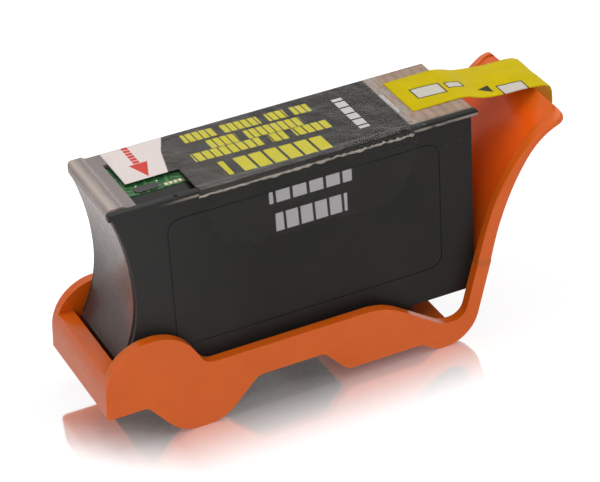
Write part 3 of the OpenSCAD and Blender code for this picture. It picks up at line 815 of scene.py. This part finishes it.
@dataclass
class CadPieces:
    """Pieces that follow the CAD solids, with rounded edges."""

    palette: Palette
    frame: dict
    plan: tuple[tuple[str, Shade, float], ...] = (
        ("tank_frame", Shade.CORE, 0.12),
        ("front_cover", Shade.COVER, 0.12),
        ("back_cover", Shade.COVER, 0.12),
        ("top_lid", Shade.LID, 0.08),
        ("board_tray", Shade.TRAY, 0.08),
        ("chip_board", Shade.BOARD, 0.05),
        ("contact_pads", Shade.CONTACT, 0.0),
        ("chip_cap", Shade.RESIN, 0.08),
        ("solder_dots", Shade.SOLDER, 0.05),
        ("fill_plug", Shade.PLUG, 0.0),
        ("vent_film", Shade.MEMBRANE, 0.0),
        ("foam_block", Shade.FOAM, 0.0),
        ("outlet_wick", Shade.WICK, 0.0),
        ("outlet_screen", Shade.MESH, 0.0),
        ("outlet_gasket", Shade.GASKET, 0.1),
        ("seal_pad", Shade.SEAL, 0.15),
    )

    def build(self) -> None:
        """Makes every piece."""
        for node, shade, width in self.plan:
            solid = self.frame["nodes"][node]
            if width:
                piece = self._rounded(node, solid, width)
            else:
                piece = solid
            self.palette.dress(piece, shade)

    def _rounded(self, node: str, solid: bpy.types.Object, width: float) -> bpy.types.Object:
        bm = bmesh.new()
        bm.from_mesh(solid.data)
        Shape.soften(bm, width, 2)
        piece = Shape.from_bmesh(f"{node}_look", bm)
        Shape.smooth(piece, 38)
        Shape.weigh(piece)
        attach(piece, "root")
        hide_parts(node)
        return piece


@dataclass
class Films:
    """Label, clear film and pull tape."""

    palette: Palette
    front: tuple[Point, ...] = (
        (0.0, 50.92), (9.2, 50.92), (9.75, 51.0), (10.1, 51.14), (10.5, 51.17), (10.85, 51.15),
        (11.12, 51.0), (11.27, 50.75), (11.3, 50.4), (11.31, 49.9), (11.28, 49.6), (11.0, 49.35),
        (10.95, 49.0), (10.94, 30.0),
    )
    back: tuple[Point, ...] = (
        (0.0, 50.92), (10.6, 50.92), (11.0, 50.88), (11.22, 50.75), (11.3, 50.5), (11.31, 49.9),
        (11.28, 49.6), (11.0, 49.35), (10.95, 49.0), (10.94, 30.0),
    )

    def build(self) -> None:
        """Makes the films."""
        self._label()
        self._clear()
        self._seal()
        self._tape()

    def _seal(self) -> None:
        columns = [64.9 + 0.5 * i for i in range(26)]
        line = [(-9.4 + 0.5 * i, TOP_Z + 0.03, 0.0) for i in range(41)]

        def place(x: float, y: float, z: float, s: float) -> Optional[Vector]:
            sag = noise.noise(Vector((x * 0.3, y * 0.3, 7.0))) * 0.02
            return spot(x, y, z + sag)

        piece = self._sheet("lid_seal_look", line, columns, place, 0.02)
        self.palette.dress(piece, Shade.SEALING)
        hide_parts("top_lid")

    def _line(self, drop: float, step: float) -> list[tuple[float, float, float]]:
        """Samples the skin from one side's hem over the top to the other.

        Returns:
            Points (y, z, length from the middle line), the length negative in front.
        """
        ahead, behind = (self._half(side, drop, step) for side in (self.front, self.back))
        return [(-y, z, -run) for y, z, run in reversed(ahead[1:])] + behind

    @staticmethod
    def _half(skin: Sequence[Point], drop: float, step: float) -> list[tuple[float, float, float]]:
        made: list[tuple[float, float, float]] = []
        run = 0.0
        for (y0, z0), (y1, z1) in zip(skin, skin[1:]):
            span = math.hypot(y1 - y0, z1 - z0)
            count = max(1, math.ceil(span / step))
            for i in range(count):
                t = i / count
                z = z0 + (z1 - z0) * t
                if z < TOP_Z - drop:
                    break
                made.append((y0 + (y1 - y0) * t, z, run + span * t))
            run += span
        return made

    def _sheet(
        self,
        name: str,
        line: list[tuple[float, float, float]],
        columns: list[float],
        place: Callable[[float, float, float, float], Optional[Vector]],
        thickness: float,
    ) -> bpy.types.Object:
        bm = bmesh.new()
        grid = [[place(x, y, z, s) for y, z, s in line] for x in columns]
        verts = [[bm.verts.new(p) if p is not None else None for p in row] for row in grid]
        for i in range(len(columns) - 1):
            for j in range(len(line) - 1):
                ring = (verts[i][j], verts[i + 1][j], verts[i + 1][j + 1], verts[i][j + 1])
                if all(v is not None for v in ring):
                    bm.faces.new(ring)
        loose = [v for v in bm.verts if not v.link_faces]
        bmesh.ops.delete(bm, geom=loose, context="VERTS")
        piece = Shape.from_bmesh(name, bm)
        shell = piece.modifiers.new("thickness", "SOLIDIFY")
        shell.thickness = thickness / 1000
        shell.offset = 0.0
        Shape.smooth(piece, 60)
        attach(piece, "root")
        return piece

    def _label(self) -> None:
        line = self._line(1.75, 0.3)
        columns = [7.3 + 0.38 * i for i in range(29)] + [18.35 + 0.35 * i for i in range(131)]

        def place(x: float, y: float, z: float, s: float) -> Optional[Vector]:
            front = s < 0
            if x < 18.3 and s < -1.9:
                return None
            edge = max(0.0, abs(s) - 8.6) / 3.0
            swell = noise.noise(Vector((x * 0.22, s * 0.3, 1.7))) * 0.07
            crush = noise.noise(Vector((x * 0.75, s * 0.5, 4.2))) * 0.2 * min(1.0, edge)
            hem = 0.0
            if abs(s) > 11.2:
                hem = noise.noise(Vector((x * 0.6, 3.1, 8.0 if front else 5.0))) * 0.5 * (abs(s) - 11.2)
            lift = swell * (1 - min(1.0, edge)) + crush
            out_y = math.copysign(1.0, y) * max(0.0, min(1.0, (abs(y) - 10.2) / 0.9))
            out_z = 1.0 - abs(out_y)
            tail = ease((x - 62.0) / 2.0) * 0.05
            return spot(x, y + out_y * (lift * 0.5 - 0.02), min(51.33, z + out_z * (lift + tail) + hem * 0.6 + 0.03))

        piece = self._sheet("wrap_label_look", line, columns, place, 0.08)
        self.palette.dress(piece, Shade.LABEL)
        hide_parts("wrap_label")

    def _clear(self) -> None:
        line = self._line(15.2, 0.32)
        columns = [19.7 + 0.34 * i for i in range(139)]

        def place(x: float, y: float, z: float, s: float) -> Optional[Vector]:
            low = TOP_Z - z
            left = 19.9 if low < 2 else 19.9 + 0.4 * (low / 15) + 6.0 * max(0.0, (low - 8.2) / 6.8) ** 2.6
            right = 66.6 if low < 1.6 else 64.7 - 0.5 * (low - 2) / 4 - 5.0 * max(0.0, (low - 6.2) / 8.8) ** 2.2
            t = (x - columns[0]) / (columns[-1] - columns[0])
            px = left + (right - left) * t
            tail = ease((px - 63.4) / 1.5) * ease((10.4 - abs(y)) / 1.5)
            crush = noise.noise(Vector((px * 0.9, s * 0.35, 9.0))) * 0.16 * tail
            swell = noise.noise(Vector((px * 0.2, s * 0.25, 2.2))) * 0.03
            side = abs(y) > 10.9
            out_y = math.copysign(1.0, y) if side else 0.0
            lift = 0.0 if side else 0.12 + swell + crush - 0.1 * tail
            gap = 0.04 + abs(swell)
            return spot(px, y + out_y * gap, min(51.36, z + lift))

        piece = self._sheet("clear_film_look", line, columns, place, 0.04)
        self.palette.dress(piece, Shade.FILM)
        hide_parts("clear_film")

    def _tape(self) -> None:
        path: tuple[Point, ...] = (
            (66.8, 51.0), (72.0, 51.05), (77.2, 51.02), (80.0, 50.6), (83.0, 49.75), (88.0, 49.2),
            (92.0, 49.05), (95.0, 48.85), (96.9, 48.35), (97.8, 47.2), (98.05, 45.2), (98.0, 42.0),
            (98.02, 38.95),
        )
        points = self._spline(path, 10)
        bm = bmesh.new()
        count = 26
        rows = []
        for i, (x, z) in enumerate(points):
            t = i / (len(points) - 1)
            row = []
            for j in range(count + 1):
                v = j / count
                y = -5.5 + 13.0 * v
                free = ease((x - 77.5) / 4) * (1.0 - 0.5 * ease((t - 0.75) / 0.1))
                wave = noise.noise(Vector((x * 0.16, v * 2.2, 3.3 + t))) * 0.35 * free
                ripple = noise.noise(Vector((x * 0.6, v * 3.0, 6.0))) * 0.05
                cup = -0.25 * free * (2 * v - 1) ** 2 * (1 if z > 48 else 0)
                row.append(bm.verts.new(spot(min(x, 98.1), y, min(51.32, z + wave * 0.6 + ripple + cup))))
            rows.append(row)
        for near, far in zip(rows, rows[1:]):
            for j in range(count):
                bm.faces.new((near[j], far[j], far[j + 1], near[j + 1]))
        piece = Shape.from_bmesh("pull_tape_look", bm)
        shell = piece.modifiers.new("thickness", "SOLIDIFY")
        shell.thickness = 0.14 / 1000
        shell.offset = 0.0
        Shape.smooth(piece, 60)
        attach(piece, "root")
        self.palette.dress(piece, Shade.TAPE)
        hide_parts("pull_tape")

    @staticmethod
    def _spline(points: Sequence[Point], steps: int) -> list[Point]:
        """Returns a smooth curve through the points."""
        made: list[Point] = []
        padded = [points[0], *points, points[-1]]
        for a, b, c, d in zip(padded, padded[1:], padded[2:], padded[3:]):
            for i in range(steps):
                t = i / steps
                made.append(tuple(
                    0.5 * (2 * q + (r - p) * t + (2 * p - 5 * q + 4 * r - s) * t * t
                           + (3 * q - p - 3 * r + s) * t ** 3)
                    for p, q, r, s in zip(a, b, c, d)
                ))
        made.append(tuple(points[-1]))
        return made


@dataclass
class Clip:
    """Orange clip: walls, crossbar, floor and the lofted handle scoop."""

    palette: Palette
    inner: float = 12.05
    outer: float = 14.15
    path: tuple[Point, ...] = ((78.75, 17.0), (81.4, 26.57), (84.65, 39.6), (95.05, 46.9))
    depth: float = 3.0
    flare: float = 0.9
    horn: float = 0.9
    curl: float = 0.9
    rim_radius: float = 2.4

    def build(self) -> None:
        """Makes the clip as one piece."""
        body = self._walls()
        scoop = self._scoop()
        bpy.context.view_layer.update()
        bm = bmesh.new()
        bm.from_mesh(body.data)
        bm.from_mesh(scoop.data)
        for part in (body, scoop):
            bpy.data.objects.remove(part)
        piece = Shape.from_bmesh("clip_look", bm)
        Shape.smooth(piece, 38)
        Shape.weigh(piece)
        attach(piece, "root")
        self.palette.dress(piece, Shade.CLIP)
        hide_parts("clip")

    def _heading(self, t: float) -> Vector:
        p = [Vector(q) for q in self.path]
        return ((1 - t) ** 2 * (p[1] - p[0]) + 2 * t * (1 - t) * (p[2] - p[1]) + t * t * (p[3] - p[2])).normalized()

    def _curve(self, t: float) -> Vector:
        p = [Vector(q) for q in self.path]
        return (1 - t) ** 3 * p[0] + 3 * t * (1 - t) ** 2 * p[1] + 3 * t * t * (1 - t) * p[2] + t ** 3 * p[3]

    def _walls(self) -> bpy.types.Object:
        d = self._heading(0.0)
        inward = Vector((-d.y, d.x))
        outer = Vector(self.path[0]) + 0.6 * d + 0.03 * inward
        inner = outer + (self.depth - 0.06) * inward
        heel = outer - outer.y / d.y * d
        throat = inner - (inner.y - 5.6) / d.y * d
        side = Outline.rounded([
            (-5.6, 8.25, 1.0), (3.0, 8.25, 1.5), (9.8, 0.0, 8.0), (18.8, 0.0, 8.6),
            (26.55, 7.75, 3.0), (41.0, 7.75, 2.0), (45.86, 2.35, 3.0), (62.5, 2.35, 2.5),
            (66.3, 0.0, 3.0), (heel.x, 0.0, 8.0), (*outer, 0.0), (*inner, 0.0),
            (throat.x, 5.6, 3.5), (67.6, 5.6, 5.0), (54.8, 14.2, 14.0), (15.9, 14.2, 3.0),
            (10.8, 23.0, 9.8), (-4.75, 23.0, 9.8),
        ])
        inside = [
            (-11.0, 17.3), (-1.2, 17.3), (-1.2, 15.65), (-3.55, 15.65), (-3.55, 10.1), (3.2, 10.1),
            (3.2, -5.0), (46.0, -5.0), (46.0, 4.0), (70.2, 4.0), (70.2, -5.0), (100.0, -5.0),
            (100.0, 52.0), (-11.0, 52.0),
        ]
        body = Shape.from_bmesh("clip_walls", Outline.prism(side, -self.outer, self.outer))
        cut = Shape.from_bmesh("clip_cut", Outline.prism(inside, -self.inner, self.inner))
        change = body.modifiers.new("cut", "BOOLEAN")
        change.operation = "DIFFERENCE"
        change.solver = "EXACT"
        change.object = cut
        graph = bpy.context.evaluated_depsgraph_get()
        mesh = bpy.data.meshes.new_from_object(body.evaluated_get(graph))
        for part in (body, cut):
            bpy.data.objects.remove(part)
        bm = bmesh.new()
        bm.from_mesh(mesh)
        Shape.soften(bm, 0.38, 3)
        return Shape.from_bmesh("clip_frame", bm)

    def _ring(self, t: float, inset: float) -> list[Vector]:
        grown = max(0.0, (t - 0.7) / 0.3) ** 2
        half_width = self.outer + 0.02 + self.flare * ease((t - 0.1) / 0.9) + self.horn * grown - inset
        tip = self.depth + (1.5 - self.depth) * ease((t - 0.35) / 0.6)
        web = 1.3 - 0.2 * t
        side = 2.14
        r_out = 0.38 + 0.3 * ease(t * 4)
        r_tip = 0.34
        r_edge = min(r_tip, 0.45 * (tip - web))
        r_in = 0.5 * (tip - web)
        half = (
            [(half_width * k / 12, -0.06 * (1 - (k / 12) ** 2)) for k in range(12)]
            + Outline.arc((half_width - r_out, r_out), r_out, -90, 0, 6)
            + Outline.arc((half_width - r_tip, tip - r_tip), r_tip, 0, 90, 5)
            + Outline.arc((half_width - side + r_edge, tip - r_edge), r_edge, 90, 180, 5)
            + Outline.arc((half_width - side - r_in, web + r_in), r_in, 0, -90, 8)
            + [((half_width - side - r_in) * k / 12, web) for k in range(11, 0, -1)]
        )
        half = [(a, b - self.curl * grown * (a / self.outer) ** 5) for a, b in half]
        full = half + [(0.0, web)] + [(-a, b) for a, b in reversed(half[1:])]
        centre = self._curve(t)
        d = self._heading(t)
        n = Vector((-d.y, d.x))
        return [spot(centre.x + b * n.x, a, centre.y + b * n.y) for a, b in full]

    def _scoop(self) -> bpy.types.Object:
        p = [Vector(q) for q in self.path]
        reach = 3 * (p[3] - p[2]).length
        corner = 1 - self.rim_radius / reach
        start = -1.2 / reach
        count = 70
        sections = [(start + (corner - start) * i / count, 0.0) for i in range(count + 1)]
        for i in range(1, 15):
            a = math.radians(84 * i / 14)
            sections.append((
                1 - self.rim_radius * (1 - math.sin(a)) / reach,
                self.rim_radius * (1 - math.cos(a)),
            ))
        bm = bmesh.new()
        loops = [[bm.verts.new(q) for q in self._ring(t, inset)] for t, inset in sections]
        size = len(loops[0])
        for near, far in zip(loops, loops[1:]):
            for i in range(size):
                j = (i + 1) % size
                bm.faces.new((near[i], far[i], far[j], near[j]))
        bm.faces.new(loops[0])
        bm.faces.new(list(reversed(loops[-1])))
        bmesh.ops.recalc_face_normals(bm, faces=bm.faces)
        rims = [
            e for f in bm.faces if len(f.verts) > 6 for e in f.edges
        ]
        bmesh.ops.bevel(
            bm, geom=rims, offset=0.3 / 1000, offset_type="OFFSET", segments=3, profile=0.5,
            affect="EDGES", clamp_overlap=True,
        )
        return Shape.from_bmesh("clip_scoop", bm)


@dataclass
class Studio:
    """Table, light and camera."""

    palette: Palette
    ambient: float = 0.36

    def build(self) -> None:
        """Makes the stage."""
        self._table()
        self._lights()
        self._camera()
        bpy.context.scene.view_settings.view_transform = "Standard"

    def _table(self) -> None:
        bm = bmesh.new()
        corners = [(-4, -4), (4, -4), (4, 4), (-4, 4)]
        bm.faces.new([bm.verts.new((x, y, 0.0)) for x, y in corners])
        table = Shape.from_bmesh("table", bm)
        self.palette.dress(table, Shade.TABLE)

    def _lights(self) -> None:
        world = bpy.data.worlds.new("studio")
        bpy.context.scene.world = world
        world.use_nodes = True
        g = Graph(world.node_tree)
        aim = g.node("ShaderNodeSeparateXYZ", links={"Vector": g.node("ShaderNodeTexCoord")["Generated"]})
        wall = (aim["X"] * 0.41 + aim["Y"] * 0.91).fade(0.5, 0.8)
        seen = g.rays["Is Camera Ray"] + g.rays["Is Transmission Ray"] + g.rays["Is Glossy Ray"] * (wall * 0.5 + 0.5)
        level = seen.least(1.0) * (1.0 - self.ambient) + self.ambient
        sky = g.node("ShaderNodeBackground", links={"Color": (1.0, 1.0, 1.0), "Strength": level})
        g.node("ShaderNodeOutputWorld", links={"Surface": sky["Background"]})
        self._lamp("overhead", (0.05, 0.12, 0.75), (0.0, 0.0, 0.0), 0.6, 2.8)
        self._lamp("left", (-0.45, -0.7, 0.45), (0.0, 0.0, 0.03), 0.4, 1.3)
        self._lamp("front", (0.26, -0.42, 0.6), (0.0, 0.0, 0.03), 0.16, 0.8)

    def _lamp(self, name: str, place: Colour, target: Colour, size: float, power: float) -> None:
        data = bpy.data.lights.new(name, "AREA")
        data.shape = "SQUARE"
        data.size = size
        data.energy = power
        lamp = bpy.data.objects.new(name, data)
        lamp.location = place
        lamp.rotation_mode = "QUATERNION"
        lamp.rotation_quaternion = (Vector(target) - Vector(place)).to_track_quat("-Z", "Y")
        bpy.context.scene.collection.objects.link(lamp)

    def _camera(self) -> None:
        azimuth, height, roll = (math.radians(v) for v in (-24.089, 32.326, -3.468))
        back = Vector((
            math.sin(azimuth) * math.cos(height), -math.cos(azimuth) * math.cos(height), math.sin(height)
        ))
        right = Vector((math.cos(azimuth), math.sin(azimuth), 0.0))
        up = back.cross(right)
        side = math.cos(roll) * right + math.sin(roll) * up
        top = -math.sin(roll) * right + math.cos(roll) * up
        data = bpy.data.cameras.new("view")
        data.lens = 156.66
        data.sensor_width = 36.0
        data.clip_start = 0.01
        data.clip_end = 20.0
        camera = bpy.data.objects.new("view", data)
        turn = Matrix((side, top, back)).transposed().to_4x4()
        camera.matrix_world = Matrix.Translation(spot(-135.46, -388.82 - HALF_W, 252.08 + TOP_Z)) @ turn
        bpy.context.scene.collection.objects.link(camera)
        bpy.context.scene.camera = camera


def main() -> None:
    """Builds the looks and the studio."""
    logging.basicConfig(level=logging.INFO, format="%(message)s")
    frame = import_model()
    palette = Palette()
    LOG.info("solids")
    CadPieces(palette, frame).build()
    LOG.info("films")
    Films(palette).build()
    LOG.info("clip")
    Clip(palette).build()
    LOG.info("studio")
    Studio(palette).build()


if __name__ == "__main__":
    main()
